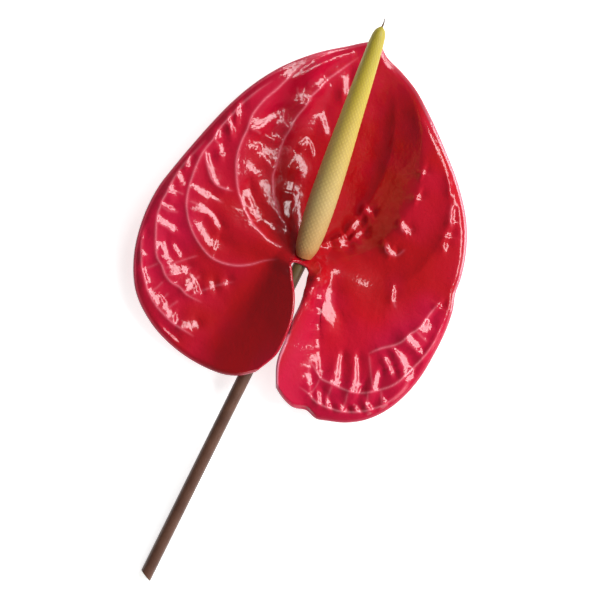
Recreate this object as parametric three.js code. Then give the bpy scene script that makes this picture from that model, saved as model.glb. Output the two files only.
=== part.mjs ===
// Cut anthurium flower, lying face up on a level surface. Millimetres, +Z up.
// The stem lies along -Y, the spathe's tip points to +Y, and the surface is at z = 0.
import * as THREE from 'three';

// ---- Driving dimensions ----
const SPATHE_WIDTH = 120;
const SPATHE_LENGTH = 138;
const SPATHE_THICKNESS = 1.2;
const BOWL_DEPTH = 15;
const LOBE_CREST = 19;
const RIM_ROLL = 1.4;
const STEM_DIAMETER = 4.9;
const STEM_LENGTH = 134;
const STEM_CUT_ANGLE = 26;
const SPADIX_LENGTH = 92.6;
const SPADIX_DIAMETER = 10.4;
const SPADIX_RISE = 17;
const SPADIX_LEAN = 7.6;
const SPADIX_BOW = 1.5;
const JOINT_HEIGHT = 10;
const PAD_SLOPE = 46;
const PAD_HALF_WIDTH = 3;
const CONTACT_GAP = 0.3;

const radians = THREE.MathUtils.degToRad;

// ---- Spathe outline, for a blade 120 wide and 138 long ----
// Points are [x, y] from where the stem joins the blade.
const DRAWN_WIDTH = 120;
const DRAWN_LENGTH = 138;
const LEFT_MARGIN = [
  [2.8, -44.8], [-2, -48.7], [-8, -51.1], [-19, -51.8], [-30, -50], [-40, -46], [-50, -38.3],
  [-56.5, -27], [-59.8, -13], [-60, 0], [-58, 10.5], [-55.7, 20], [-53, 30], [-49.8, 40],
  [-45.5, 50], [-39.5, 60], [-31.8, 69.5], [-26, 75.2], [-19.8, 80.2], [-15, 84], [-11, 86.2],
];
const RIGHT_MARGIN = [
  [-5.4, 82.6], [2, 80], [9.5, 76.4], [17, 71], [28.6, 61.4], [40, 50.8], [48.6, 40],
  [53.4, 30], [56, 20.5], [56.7, 14.5], [58.7, 8], [59.7, 0], [59.7, -9], [59, -19],
  [57, -27.5], [53.5, -35.5], [48, -42.5], [41.5, -47], [35, -49.4], [31, -50.5], [26.5, -49.3],
  [21.5, -50.5], [16.5, -49], [12.6, -46.6],
];
// The sinus is the notch between the two basal lobes.
const SINUS_LEFT = [
  [-3.6, -2.6], [-0.4, -7.6], [2.9, -12.5], [5, -17], [6.5, -22.5], [7.1, -29], [6.9, -35.5], [2.8, -44.8],
];
const SINUS_RIGHT = [
  [4.6, -3], [6.2, -8.4], [7.1, -14.9], [7.1, -21.2], [7.9, -29.4], [8.6, -37.5], [12.6, -46.6],
];
const SINUS_TOP = [[-3.6, -2.6], [-2.2, -1.5], [0.4, -1.2], [3, -1.6], [4.6, -3]];

// Height of the underside along the blade's middle, as [y, z], away from the joint.
const BELLY = [
  [4, 6.6], [8, 3.3], [13, 1.6], [20, 0.8], [30, 0.2], [40, 0], [50, 0.2], [60, 0.9], [70, 2.2], [88, 5.4],
];
const PAD_CENTRE_Y = 1.5;
const PAD_TOP = -3.2;
const PAD_FOOT = 4.6;
const BELLY_START = 9;
const SPADIX_LIFT = 1.2;
const MIDRIB_SLANT = -0.125;
const MIDRIB_TURN_END = 40;
const FLOOR_HALF_WIDTH = 21;
const BOWL_FLOOR = 9;
const RIGHT_BOWL_DEPTH = 12;
const CREST_RUN = 8;
// Where the bowl changes from its left depth to its right depth, and where its wall steepens, in x and y.
const DEPTH_CHANGE = [-15, 15];
const WALL_CHANGE = [4, 24];
const WALL_POWER = [2, 3];
// The y range over which the lobes pass into the bowl.
const JOINT_BLEND = [-8, 12];
const RIM_BAND = 0.1;

// The basal lobes. Each falls from a crest beside the sinus to a foot line and rises again to the rim.
// All are [y, x] or [y, z] pairs.
const SINUS_MIDDLE = [
  [-48, 7.6], [-37, 7.8], [-29, 7.5], [-22, 6.8], [-17, 6], [-12.5, 4.9], [-7.6, 2.9], [-2.6, 0.5], [0, 0],
];
const LEFT_FOOT = [[-50, -22], [-38, -19.5], [-25, -16], [-15, -14], [-5, -12], [0, -10]];
const LEFT_FLOOR = [[-50, 5], [-25, 5], [-12, 6.5], [0, 9]];
const RIGHT_FOOT = [[-50, 27], [-36, 25.5], [-23, 19.5], [-13, 14.5], [-5, 13], [0, 13]];
const RIGHT_FLOOR = [[-50, 8], [-25, 10], [-15, 10.5], [-6, 10.8], [0, 10.5]];
const LEFT_BEND = 0.35;
const RIGHT_BEND = 0.22;
const LEFT_RISE = [[-32, 8], [-14, 6.5], [0, 4]];
const RIGHT_RISE = [[-32, 1.5], [-14, 0.7], [0, 0.5]];
const LOBE_RISE_RUN = 38;
const LOBE_RISE_POWER = 1.5;
const PAD_EDGE_FADE = [-9, -3];
const FOLD_X = 8;
const FOLD_DROP = 0.8;
const FOLD_INNER_SLOPE = 0.9;
const FOLD_DROP_FADE = [2, 9];
const FOLD_INNER_FADE = [1, 6];
// Share of the way round the blade over which each sinus edge bends the rows.
const SINUS_REACH = 0.2;
const GRID_SPACING = 3.4;

// ---- Small helpers ----
function planCurve(points) {
  const across = SPATHE_WIDTH / DRAWN_WIDTH;
  const along = SPATHE_LENGTH / DRAWN_LENGTH;
  const placed = points.map(([x, y]) => new THREE.Vector3(x * across, y * along, 0));
  return new THREE.CatmullRomCurve3(placed, false, 'centripetal');
}

function smooth(low, high, value) {
  return THREE.MathUtils.smoothstep(value, low, high);
}

// Cubic interpolation through [position, value] pairs, level beyond both ends.
function profileValue(pairs, position) {
  const last = pairs.length - 1;
  if (position <= pairs[0][0]) return pairs[0][1];
  if (position >= pairs[last][0]) return pairs[last][1];
  const index = pairs.findIndex(([edge]) => edge > position) - 1;
  const slopeAt = (i) => {
    const before = pairs[Math.max(i - 1, 0)];
    const after = pairs[Math.min(i + 1, last)];
    return (after[1] - before[1]) / (after[0] - before[0]);
  };
  const [start, startValue] = pairs[index];
  const [end, endValue] = pairs[index + 1];
  const span = end - start;
  const t = (position - start) / span;
  const rise = endValue - startValue;
  const left = slopeAt(index) * span;
  const right = slopeAt(index + 1) * span;
  return startValue + t * (left + t * (3 * rise - 2 * left - right + t * (left + right - 2 * rise)));
}

function closedGeometry(points, faces) {
  const geometry = new THREE.BufferGeometry();
  geometry.setAttribute('position', new THREE.Float32BufferAttribute(points.flatMap((p) => p.toArray()), 3));
  geometry.setIndex(faces.flat());
  geometry.computeVertexNormals();
  return geometry;
}

function namedMesh(name, geometry, look) {
  const mesh = new THREE.Mesh(geometry, new THREE.MeshStandardMaterial(look));
  mesh.name = name;
  return mesh;
}

// ---- The pad: the small tilted patch of blade where the stem and the spadix join it ----
const padCentre = new THREE.Vector3(0, PAD_CENTRE_Y, JOINT_HEIGHT);
const padNormal = new THREE.Vector3(0, Math.sin(radians(PAD_SLOPE)), Math.cos(radians(PAD_SLOPE)));

function padPlane(side) {
  const shift = side * (SPATHE_THICKNESS / 2 + CONTACT_GAP);
  const point = padCentre.clone().addScaledVector(padNormal, shift);
  return new THREE.Plane().setFromNormalAndCoplanarPoint(padNormal, point);
}

// Slides a point along a direction until it lies in a plane.
function slideTo(plane, point, direction) {
  const distance = plane.distanceToPoint(point) / plane.normal.dot(direction);
  return point.clone().addScaledVector(direction, -distance);
}

// ---- Spathe ----
function padHeight(y) {
  return JOINT_HEIGHT - (y - padCentre.y) * Math.tan(radians(PAD_SLOPE));
}

// Mid-surface height along the blade's middle line.
function middleHeight(y) {
  const padTop = padHeight(PAD_TOP);
  if (y < PAD_TOP) return padTop + (LOBE_CREST - padTop) * (1 - Math.exp((y - PAD_TOP) / CREST_RUN));
  const belly = SPATHE_THICKNESS / 2 + profileValue(BELLY, y);
  return THREE.MathUtils.lerp(padHeight(Math.min(y, BELLY_START)), belly, smooth(PAD_FOOT, BELLY_START, y));
}

// The middle line follows the slanted midrib above the joint and the sinus below it.
function middleX(y) {
  return y > 0 ? y * MIDRIB_SLANT * smooth(0, MIDRIB_TURN_END, y) : profileValue(SINUS_MIDDLE, y);
}

// From 0 at a sharp crest down to 1 in a valley; bend is the rounded share of the way.
function fallOff(position, bend) {
  const t = THREE.MathUtils.clamp(position, 0, 1);
  const slope = 1 / (1 - bend / 2);
  return t < 1 - bend ? slope * t : 1 - (slope * (1 - t) ** 2) / (2 * bend);
}

function lobeRise(beyondFoot, rise) {
  return rise * (Math.max(0, beyondFoot) / LOBE_RISE_RUN) ** LOBE_RISE_POWER;
}

function leftLobeHeight(x, y) {
  const foot = profileValue(LEFT_FOOT, y);
  const edge = middleX(y) - PAD_HALF_WIDTH * smooth(...PAD_EDGE_FADE, y);
  const fall = fallOff((edge - x) / (edge - foot), LEFT_BEND);
  const height = THREE.MathUtils.lerp(middleHeight(y), profileValue(LEFT_FLOOR, y), fall);
  return height + lobeRise(foot - x, profileValue(LEFT_RISE, y));
}

// The right lobe's crest is a fold that stands a little way in from the sinus edge.
function rightLobeHeight(x, y) {
  const foot = profileValue(RIGHT_FOOT, y);
  const fold = middleHeight(y) - FOLD_DROP * smooth(...FOLD_DROP_FADE, -y);
  const fall = fallOff((x - FOLD_X) / (foot - FOLD_X), RIGHT_BEND);
  const height = THREE.MathUtils.lerp(fold, profileValue(RIGHT_FLOOR, y), fall);
  const inner = FOLD_INNER_SLOPE * Math.max(0, FOLD_X - x) * smooth(...FOLD_INNER_FADE, -y);
  return height - inner + lobeRise(x - foot, profileValue(RIGHT_RISE, y));
}

// Above the joint the blade is one boat-shaped bowl.
function bowlHeight(x, y) {
  const across = Math.max(0, Math.abs(x - middleX(y)) - PAD_HALF_WIDTH);
  const reach = Math.hypot(x, y) / (SPATHE_WIDTH / 2);
  const depth = THREE.MathUtils.lerp(BOWL_DEPTH, RIGHT_BOWL_DEPTH, smooth(...DEPTH_CHANGE, x));
  const outer = BOWL_FLOOR + (depth - BOWL_FLOOR) * reach * reach;
  const power = THREE.MathUtils.lerp(...WALL_POWER, smooth(...WALL_CHANGE, y));
  const weight = Math.exp(-((across / FLOOR_HALF_WIDTH) ** power));
  return THREE.MathUtils.lerp(outer, middleHeight(y), weight);
}

function bladeHeight(x, y) {
  const lobe = x < middleX(y) ? leftLobeHeight(x, y) : rightLobeHeight(x, y);
  return THREE.MathUtils.lerp(lobe, bowlHeight(x, y), smooth(...JOINT_BLEND, y));
}

function bladePoint(x, y, rim, side) {
  const step = 0.2;
  const height = bladeHeight(x, y) - RIM_ROLL * smooth(1 - RIM_BAND, 1, rim) ** 2;
  const slopeX = (bladeHeight(x + step, y) - bladeHeight(x - step, y)) / (2 * step);
  const slopeY = (bladeHeight(x, y + step) - bladeHeight(x, y - step)) / (2 * step);
  const normal = new THREE.Vector3(-slopeX, -slopeY, 1).normalize();
  return new THREE.Vector3(x, y, height).addScaledVector(normal, side * SPATHE_THICKNESS / 2);
}

function spatheGeometry() {
  const margin = planCurve([...LEFT_MARGIN, ...RIGHT_MARGIN]);
  const notch = planCurve(SINUS_TOP);
  const leftEdge = planCurve(SINUS_LEFT);
  const rightEdge = planCurve(SINUS_RIGHT);
  const blend = (start, end, t) => start.clone().lerp(end, t);

  // u runs from the sinus (0) to the margin (1); v runs from the left sinus edge round to the right one.
  function plan(u, v) {
    const point = blend(notch.getPointAt(v), margin.getPointAt(v), u);
    const leftPull = leftEdge.getPointAt(u).sub(blend(leftEdge.getPointAt(0), leftEdge.getPointAt(1), u));
    const rightPull = rightEdge.getPointAt(u).sub(blend(rightEdge.getPointAt(0), rightEdge.getPointAt(1), u));
    point.addScaledVector(leftPull, 1 - smooth(0, SINUS_REACH, v));
    return point.addScaledVector(rightPull, smooth(1 - SINUS_REACH, 1, v));
  }

  const ringCount = Math.round(SPATHE_LENGTH / 2 / GRID_SPACING);
  const rings = [];
  const places = [];
  for (let ring = 0; ring <= ringCount; ring += 1) {
    const u = ring / ringCount;
    const around = THREE.MathUtils.lerp(notch.getLength(), margin.getLength(), u);
    const count = Math.max(8, Math.round(around / GRID_SPACING));
    const row = [];
    for (let step = 0; step <= count; step += 1) {
      row.push(places.length);
      const place = plan(u, step / count);
      places.push([place.x, place.y, u]);
    }
    rings.push(row);
  }

  const front = places.map(([x, y, u]) => bladePoint(x, y, u, 1));
  const back = places.map(([x, y, u]) => bladePoint(x, y, u, -1));
  const offset = places.length;
  const faces = [];
  for (let ring = 0; ring < ringCount; ring += 1) {
    for (const [a, b, c] of stitch(rings[ring], rings[ring + 1])) {
      faces.push([a, b, c], [a + offset, c + offset, b + offset]);
    }
  }
  const edge = [
    ...rings.map((row) => row[0]),
    ...rings[ringCount].slice(1),
    ...rings.map((row) => row[row.length - 1]).reverse().slice(1),
    ...rings[0].slice(1, -1).reverse(),
  ];
  edge.forEach((here, index) => {
    const next = edge[(index + 1) % edge.length];
    faces.push([here, next, here + offset], [next, next + offset, here + offset]);
  });
  return closedGeometry([...front, ...back], faces);
}

// Triangles between two rows of points that may differ in number.
function stitch(inner, outer) {
  const triangles = [];
  let i = 0;
  let o = 0;
  while (i < inner.length - 1 || o < outer.length - 1) {
    const innerNext = (i + 1) / (inner.length - 1);
    const outerNext = (o + 1) / (outer.length - 1);
    if (o < outer.length - 1 && (outerNext <= innerNext || i === inner.length - 1)) {
      triangles.push([inner[i], outer[o + 1], outer[o]]);
      o += 1;
    } else {
      triangles.push([inner[i], inner[i + 1], outer[o]]);
      i += 1;
    }
  }
  return triangles;
}

// ---- Round bodies: rings of points round an axis, closed by a point at each end ----
function roundGeometry(rings, startPoint, endPoint) {
  const sides = rings[0].length;
  const points = [...rings.flat(), startPoint, endPoint];
  const start = points.length - 2;
  const end = points.length - 1;
  const lastRing = (rings.length - 1) * sides;
  const faces = [];
  for (let k = 0; k < sides; k += 1) {
    const next = (k + 1) % sides;
    faces.push([start, next, k], [end, lastRing + k, lastRing + next]);
    for (let ring = 0; ring < rings.length - 1; ring += 1) {
      const near = ring * sides;
      const far = near + sides;
      faces.push([near + k, near + next, far + k], [near + next, far + next, far + k]);
    }
  }
  return closedGeometry(points, faces);
}

function ringPoints(centre, direction, radius, sides) {
  const sideways = new THREE.Vector3(0, 0, 1).cross(direction).normalize();
  const upward = direction.clone().cross(sideways);
  return Array.from({ length: sides }, (_, k) => {
    const angle = (2 * Math.PI * k) / sides;
    return centre.clone()
      .addScaledVector(sideways, radius * Math.cos(angle))
      .addScaledVector(upward, radius * Math.sin(angle));
  });
}

function stemGeometry() {
  const sides = 16;
  const spans = 12;
  const radius = STEM_DIAMETER / 2;
  const cutEnd = new THREE.Vector3(0, padCentre.y - STEM_LENGTH, radius);
  const direction = padCentre.clone().sub(cutEnd).normalize();
  const slant = radians(STEM_CUT_ANGLE);
  const cutPlane = new THREE.Plane().setFromNormalAndCoplanarPoint(
    new THREE.Vector3(Math.sin(slant), Math.cos(slant), 0),
    cutEnd,
  );
  const joinPlane = padPlane(-1);
  const length = cutEnd.distanceTo(padCentre);
  const rings = [];
  for (let span = 0; span <= spans; span += 1) {
    const distance = THREE.MathUtils.lerp(0, length, span / spans);
    const centre = cutEnd.clone().addScaledVector(direction, distance);
    let ring = ringPoints(centre, direction, radius, sides);
    if (span === 0) ring = ring.map((point) => slideTo(cutPlane, point, direction));
    if (span === spans) ring = ring.map((point) => slideTo(joinPlane, point, direction));
    rings.push(ring);
  }
  return roundGeometry(rings, slideTo(cutPlane, cutEnd, direction), slideTo(joinPlane, padCentre, direction));
}

// Spadix half thickness along its length, as [fraction of length, fraction of full diameter].
const SPADIX_PROFILE = [
  [0, 0.56], [0.03, 0.76], [0.08, 0.9], [0.16, 0.985], [0.26, 1], [0.42, 0.93], [0.6, 0.8],
  [0.78, 0.67], [0.88, 0.585], [0.94, 0.52], [0.97, 0.43], [0.985, 0.31], [0.995, 0.14],
];

// The rings crowd towards the spadix tip and stop just short of it.
const SPADIX_LAST_RING = 0.995;
const SPADIX_RING_CROWDING = 1.15;

function spadixGeometry() {
  const sides = 20;
  const spans = 26;
  const lean = radians(SPADIX_LEAN);
  const rise = radians(SPADIX_RISE);
  const direction = new THREE.Vector3(-Math.sin(lean), Math.cos(lean), Math.tan(rise)).normalize();
  const upward = new THREE.Vector3(0, 0, 1);
  const joinPlane = padPlane(1);
  const base = slideTo(joinPlane, padCentre.clone().addScaledVector(upward, SPADIX_LIFT), direction);
  const centreAt = (t) => base.clone()
    .addScaledVector(direction, t * SPADIX_LENGTH)
    .addScaledVector(upward, 4 * SPADIX_BOW * t * (1 - t));
  const rings = [];
  for (let span = 0; span <= spans; span += 1) {
    const t = SPADIX_LAST_RING * Math.sin((Math.PI / 2) * (span / spans)) ** SPADIX_RING_CROWDING;
    const radius = (SPADIX_DIAMETER / 2) * profileValue(SPADIX_PROFILE, t);
    const ring = ringPoints(centreAt(t), direction, radius, sides);
    const beyond = (point) => joinPlane.distanceToPoint(point) < 0;
    rings.push(ring.map((point) => (beyond(point) ? slideTo(joinPlane, point, direction) : point)));
  }
  return roundGeometry(rings, base, centreAt(1));
}

// ---- Assembly ----
const flower = new THREE.Group();
flower.add(
  namedMesh('stem', stemGeometry(), { color: 0x5e3a28, roughness: 0.55, metalness: 0 }),
  namedMesh('spathe', spatheGeometry(), { color: 0xc2142a, roughness: 0.15, metalness: 0 }),
  namedMesh('spadix', spadixGeometry(), { color: 0xd8c478, roughness: 0.6, metalness: 0 }),
);

// The origin is the middle of the flower's footprint, on the surface.
const extent = new THREE.Box3().setFromObject(flower, true);
flower.position.set(-(extent.min.x + extent.max.x) / 2, -(extent.min.y + extent.max.y) / 2, -extent.min.z);
const part = new THREE.Group();
part.add(flower);

export default part;
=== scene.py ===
"""Cut anthurium: glossy veined spathe, floret-covered spadix and stalk, lying face up on a pale floor."""
import math
import bpy
import numpy as np
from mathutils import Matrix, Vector


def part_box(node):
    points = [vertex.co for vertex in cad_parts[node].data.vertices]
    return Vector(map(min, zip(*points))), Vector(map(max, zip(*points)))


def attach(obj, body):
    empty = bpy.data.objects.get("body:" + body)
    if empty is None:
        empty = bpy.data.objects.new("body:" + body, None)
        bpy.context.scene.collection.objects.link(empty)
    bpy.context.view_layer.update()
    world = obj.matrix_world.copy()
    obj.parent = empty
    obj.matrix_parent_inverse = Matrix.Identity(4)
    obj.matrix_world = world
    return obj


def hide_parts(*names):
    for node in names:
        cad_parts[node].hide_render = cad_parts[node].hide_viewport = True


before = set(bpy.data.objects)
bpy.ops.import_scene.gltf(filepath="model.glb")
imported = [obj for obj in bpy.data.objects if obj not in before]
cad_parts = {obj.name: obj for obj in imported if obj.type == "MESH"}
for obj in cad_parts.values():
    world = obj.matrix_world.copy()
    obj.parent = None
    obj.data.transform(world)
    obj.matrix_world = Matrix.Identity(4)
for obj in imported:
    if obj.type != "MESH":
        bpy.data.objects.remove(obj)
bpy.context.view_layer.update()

MM = 0.001

# ==== Where the CAD part stands ====
# Shapes below are in millimetres from the joint of stalk and blade, x to the right, y towards the
# blade's tip, z up from the surface.
TIP_Y = 86.2
SURFACE_LIFT = 0.004
stem_low, stem_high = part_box("stem")
spathe_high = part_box("spathe")[1]
ORIGIN = Vector((
    (stem_low.x + stem_high.x) / 2,
    spathe_high.y - TIP_Y * MM,
    SURFACE_LIFT * MM,
))


# ==== Small numeric helpers ====
def smooth(low, high, value):
    t = np.clip((value - low) / (high - low), 0, 1)
    return t * t * (3 - 2 * t)


def mix(a, b, t):
    return a + (b - a) * t


def spline(points, step=1.0):
    """Centripetal Catmull-Rom curve through the points, sampled at about the given step."""
    p = np.array(points, float)
    p = np.vstack([2 * p[0] - p[1], p, 2 * p[-1] - p[-2]])
    out = []
    for a, b, c, d in zip(p[:-3], p[1:-2], p[2:-1], p[3:]):
        t1 = np.sqrt(np.linalg.norm(b - a))
        t2 = t1 + np.sqrt(np.linalg.norm(c - b))
        t3 = t2 + np.sqrt(np.linalg.norm(d - c))
        count = max(2, int(np.linalg.norm(c - b) / step))
        t = np.linspace(t1, t2, count, endpoint=False)[:, None]
        a1 = (t1 - t) / t1 * a + t / t1 * b
        a2 = (t2 - t) / (t2 - t1) * b + (t - t1) / (t2 - t1) * c
        a3 = (t3 - t) / (t3 - t2) * c + (t - t2) / (t3 - t2) * d
        b1 = (t2 - t) / t2 * a1 + t / t2 * a2
        b2 = (t3 - t) / (t3 - t1) * a2 + (t - t1) / (t3 - t1) * a3
        out.append((t2 - t) / (t2 - t1) * b1 + (t - t1) / (t2 - t1) * b2)
    out.append(p[-2][None])
    return np.vstack(out)


class Path:
    """A polyline that is read by the share of its length."""

    def __init__(self, points):
        self.points = spline(points)
        steps = np.linalg.norm(np.diff(self.points, axis=0), axis=1)
        self.at = np.concatenate([[0], np.cumsum(steps)])
        self.length = self.at[-1]

    def read(self, share):
        where = np.asarray(share) * self.length
        return np.stack([np.interp(where, self.at, self.points[:, k]) for k in (0, 1)], -1)


def profile(pairs, where):
    """Smooth cubic through (place, value) pairs, level beyond both ends."""
    x, y = np.array(pairs, float).T
    slope = np.gradient(y, x)
    i = np.clip(np.searchsorted(x, where) - 1, 0, len(x) - 2)
    span = x[i + 1] - x[i]
    t = np.clip((where - x[i]) / span, 0, 1)
    rise = y[i + 1] - y[i]
    left = slope[i] * span
    right = slope[i + 1] * span
    return y[i] + t * (left + t * (3 * rise - 2 * left - right + t * (left + right - 2 * rise)))


NOISE_GRID = 256
NOISE_OFFSET = 100


def value_noise(x, y, cell, seed):
    """Smooth random surface between -1 and 1 with bumps about one cell apart."""
    grid = np.random.default_rng(seed).uniform(-1, 1, (NOISE_GRID, NOISE_GRID))
    u, v = x / cell + NOISE_OFFSET, y / cell + NOISE_OFFSET
    i, j = np.floor(u).astype(int), np.floor(v).astype(int)
    s, t = u - i, v - j
    s, t = s * s * (3 - 2 * s), t * t * (3 - 2 * t)

    def pick(a, b):
        return grid[a % NOISE_GRID, b % NOISE_GRID]

    low = mix(pick(i, j), pick(i + 1, j), s)
    high = mix(pick(i, j + 1), pick(i + 1, j + 1), s)
    return mix(low, high, t)


# ==== Spathe: outline ====
LEFT_MARGIN = [
    (2.8, -44.8), (-2, -48.7), (-8, -51.1), (-19, -51.8), (-30, -50), (-40, -46), (-50, -38.3),
    (-56.5, -27), (-59.8, -13), (-60, 0), (-58, 10.5), (-55.7, 20), (-53, 30), (-49.8, 40),
    (-45.5, 50), (-39.5, 60), (-31.8, 69.5), (-26, 75.2), (-19.8, 80.2), (-15, 84), (-11, TIP_Y),
]
RIGHT_MARGIN = [
    (-5.4, 82.6), (2, 80), (9.5, 76.4), (17, 71), (28.6, 61.4), (40, 50.8), (48.6, 40),
    (53.4, 30), (56, 20.5), (56.7, 14.5), (58.7, 8), (59.7, 0), (59.7, -9), (59, -19),
    (57, -27.5), (53.5, -35.5), (48, -42.5), (41.5, -47), (35, -49.4), (31, -50.5), (26.5, -49.3),
    (21.5, -50.5), (16.5, -49), (12.6, -46.6),
]
SINUS_LEFT = [
    (-3.6, -2.6), (-0.4, -7.6), (2.9, -12.5), (5, -17), (6.5, -22.5), (7.1, -29), (6.9, -35.5), (2.8, -44.8),
]
SINUS_RIGHT = [
    (4.6, -3), (6.2, -8.4), (7.1, -14.9), (7.1, -21.2), (7.9, -29.4), (8.6, -37.5), (12.6, -46.6),
]
SINUS_TOP = [(-3.6, -2.6), (-2.2, -1.5), (0.4, -1.2), (3, -1.6), (4.6, -3)]
# share of the way round, at each side, over which the blade follows the sinus edge
SINUS_REACH = 0.2

margin = Path(LEFT_MARGIN + RIGHT_MARGIN)
sinus_top = Path(SINUS_TOP)
sinus_left = Path(SINUS_LEFT)
sinus_right = Path(SINUS_RIGHT)


def plan(u, v):
    """Place on the blade: u from sinus to margin, v round from the left sinus edge to the right one."""
    u, v = np.broadcast_arrays(np.asarray(u, float), np.asarray(v, float))
    u1 = u[..., None]

    def pull(edge):
        return edge.read(u) - mix(edge.read(0 * u), edge.read(0 * u + 1), u1)

    near_left = (1 - smooth(0, SINUS_REACH, v))[..., None]
    near_right = smooth(1 - SINUS_REACH, 1, v)[..., None]
    straight = mix(sinus_top.read(v), margin.read(v), u1)
    return straight + pull(sinus_left) * near_left + pull(sinus_right) * near_right


# ==== Spathe: the large form, as in the CAD part ====
THICKNESS = 1.2
JOINT_HEIGHT = 10
PAD_ANGLE = math.radians(46)
PAD_CENTRE_Y = 1.5
PAD_HALF_WIDTH = 3
PAD_TOP = -3.2
PAD_FOOT = 4.6
BELLY_START = 9
BELLY = [
    (4, 6.6), (8, 3.3), (13, 1.6), (20, 0.8), (30, 0.2), (40, 0), (50, 0.2), (60, 0.9), (70, 2.2), (88, 5.4),
]
MIDRIB_SLANT = -0.125
MIDRIB_TURN_END = 40
# the bowl above the joint
HALF_SPAN = 60
FLOOR_HALF_WIDTH = 21
BOWL_FLOOR = 9
BOWL_DEPTH = 15
RIGHT_BOWL_DEPTH = 12
DEPTH_CHANGE = (-15, 15)
WALL_CHANGE = (4, 24)
WALL_POWER = (2, 3)
JOINT_BLEND = (-8, 12)
# the lobes below the joint: (y, place or height) along their feet, floors and rims
LOBE_CREST = 19
CREST_RUN = 8
SINUS_MIDDLE = [
    (-48, 7.6), (-37, 7.8), (-29, 7.5), (-22, 6.8), (-17, 6), (-12.5, 4.9), (-7.6, 2.9), (-2.6, 0.5), (0, 0),
]
LEFT_FOOT = [(-50, -22), (-38, -19.5), (-25, -16), (-15, -14), (-5, -12), (0, -10)]
LEFT_FLOOR = [(-50, 5), (-25, 5), (-12, 6.5), (0, 9)]
LEFT_RISE = [(-32, 8), (-14, 6.5), (0, 4)]
LEFT_BEND = 0.35
RIGHT_FOOT = [(-50, 27), (-36, 25.5), (-23, 19.5), (-13, 14.5), (-5, 13), (0, 13)]
RIGHT_FLOOR = [(-50, 8), (-25, 10), (-15, 10.5), (-6, 10.8), (0, 10.5)]
RIGHT_RISE = [(-32, 1.5), (-14, 0.7), (0, 0.5)]
RIGHT_BEND = 0.22
LOBE_RISE_RUN = 38
LOBE_RISE_POWER = 1.5
PAD_EDGE_FADE = (-9, -3)
FOLD_X = 8
FOLD_DROP = 0.8
FOLD_DROP_FADE = (2, 9)
FOLD_INNER_SLOPE = 0.9
FOLD_INNER_FADE = (1, 6)
# the rim, rolled down over a narrow share of the blade
RIM_ROLL = 0.9
RIM_BAND = 0.045


def pad_height(y):
    return JOINT_HEIGHT - (y - PAD_CENTRE_Y) * math.tan(PAD_ANGLE)


def middle_height(y):
    """Height of the blade along its middle line: lobe crest, pad under the spadix, belly."""
    top = pad_height(PAD_TOP)
    crest = top + (LOBE_CREST - top) * (1 - np.exp((np.minimum(y, PAD_TOP) - PAD_TOP) / CREST_RUN))
    belly = THICKNESS / 2 + profile(BELLY, y)
    lower = mix(pad_height(np.minimum(y, BELLY_START)), belly, smooth(PAD_FOOT, BELLY_START, y))
    return np.where(y < PAD_TOP, crest, lower)


def middle_x(y):
    """The middle line follows the slanted midrib above the joint and the sinus below it."""
    return np.where(y > 0, y * MIDRIB_SLANT * smooth(0, MIDRIB_TURN_END, y), profile(SINUS_MIDDLE, y))


def fall_off(t, bend):
    """From 0 at a sharp crest down to 1 in a valley; bend is the rounded share of the way."""
    t = np.clip(t, 0, 1)
    slope = 1 / (1 - bend / 2)
    return np.where(t < 1 - bend, slope * t, 1 - slope * (1 - t) ** 2 / (2 * bend))


def lobe_rise(beyond_foot, rise):
    return rise * (np.maximum(0, beyond_foot) / LOBE_RISE_RUN) ** LOBE_RISE_POWER


def left_lobe_height(x, y):
    foot = profile(LEFT_FOOT, y)
    edge = middle_x(y) - PAD_HALF_WIDTH * smooth(*PAD_EDGE_FADE, y)
    fall = fall_off((edge - x) / (edge - foot), LEFT_BEND)
    height = mix(middle_height(y), profile(LEFT_FLOOR, y), fall)
    return height + lobe_rise(foot - x, profile(LEFT_RISE, y))


def right_lobe_height(x, y):
    """The right lobe's crest is a fold that stands a little way in from the sinus edge."""
    foot = profile(RIGHT_FOOT, y)
    fold = middle_height(y) - FOLD_DROP * smooth(*FOLD_DROP_FADE, -y)
    fall = fall_off((x - FOLD_X) / (foot - FOLD_X), RIGHT_BEND)
    inner = FOLD_INNER_SLOPE * np.maximum(0, FOLD_X - x) * smooth(*FOLD_INNER_FADE, -y)
    return mix(fold, profile(RIGHT_FLOOR, y), fall) - inner + lobe_rise(x - foot, profile(RIGHT_RISE, y))


def bowl_height(x, y):
    """Above the joint the blade is one boat-shaped bowl."""
    across = np.maximum(0, np.abs(x - middle_x(y)) - PAD_HALF_WIDTH)
    reach = np.hypot(x, y) / HALF_SPAN
    depth = mix(BOWL_DEPTH, RIGHT_BOWL_DEPTH, smooth(*DEPTH_CHANGE, x))
    outer = BOWL_FLOOR + (depth - BOWL_FLOOR) * reach ** 2
    power = mix(*WALL_POWER, smooth(*WALL_CHANGE, y))
    return mix(outer, middle_height(y), np.exp(-(across / FLOOR_HALF_WIDTH) ** power))


def large_form(x, y):
    """Height of the blade's middle surface without its veins."""
    lobe = np.where(x < middle_x(y), left_lobe_height(x, y), right_lobe_height(x, y))
    return mix(lobe, bowl_height(x, y), smooth(*JOINT_BLEND, y))


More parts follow.
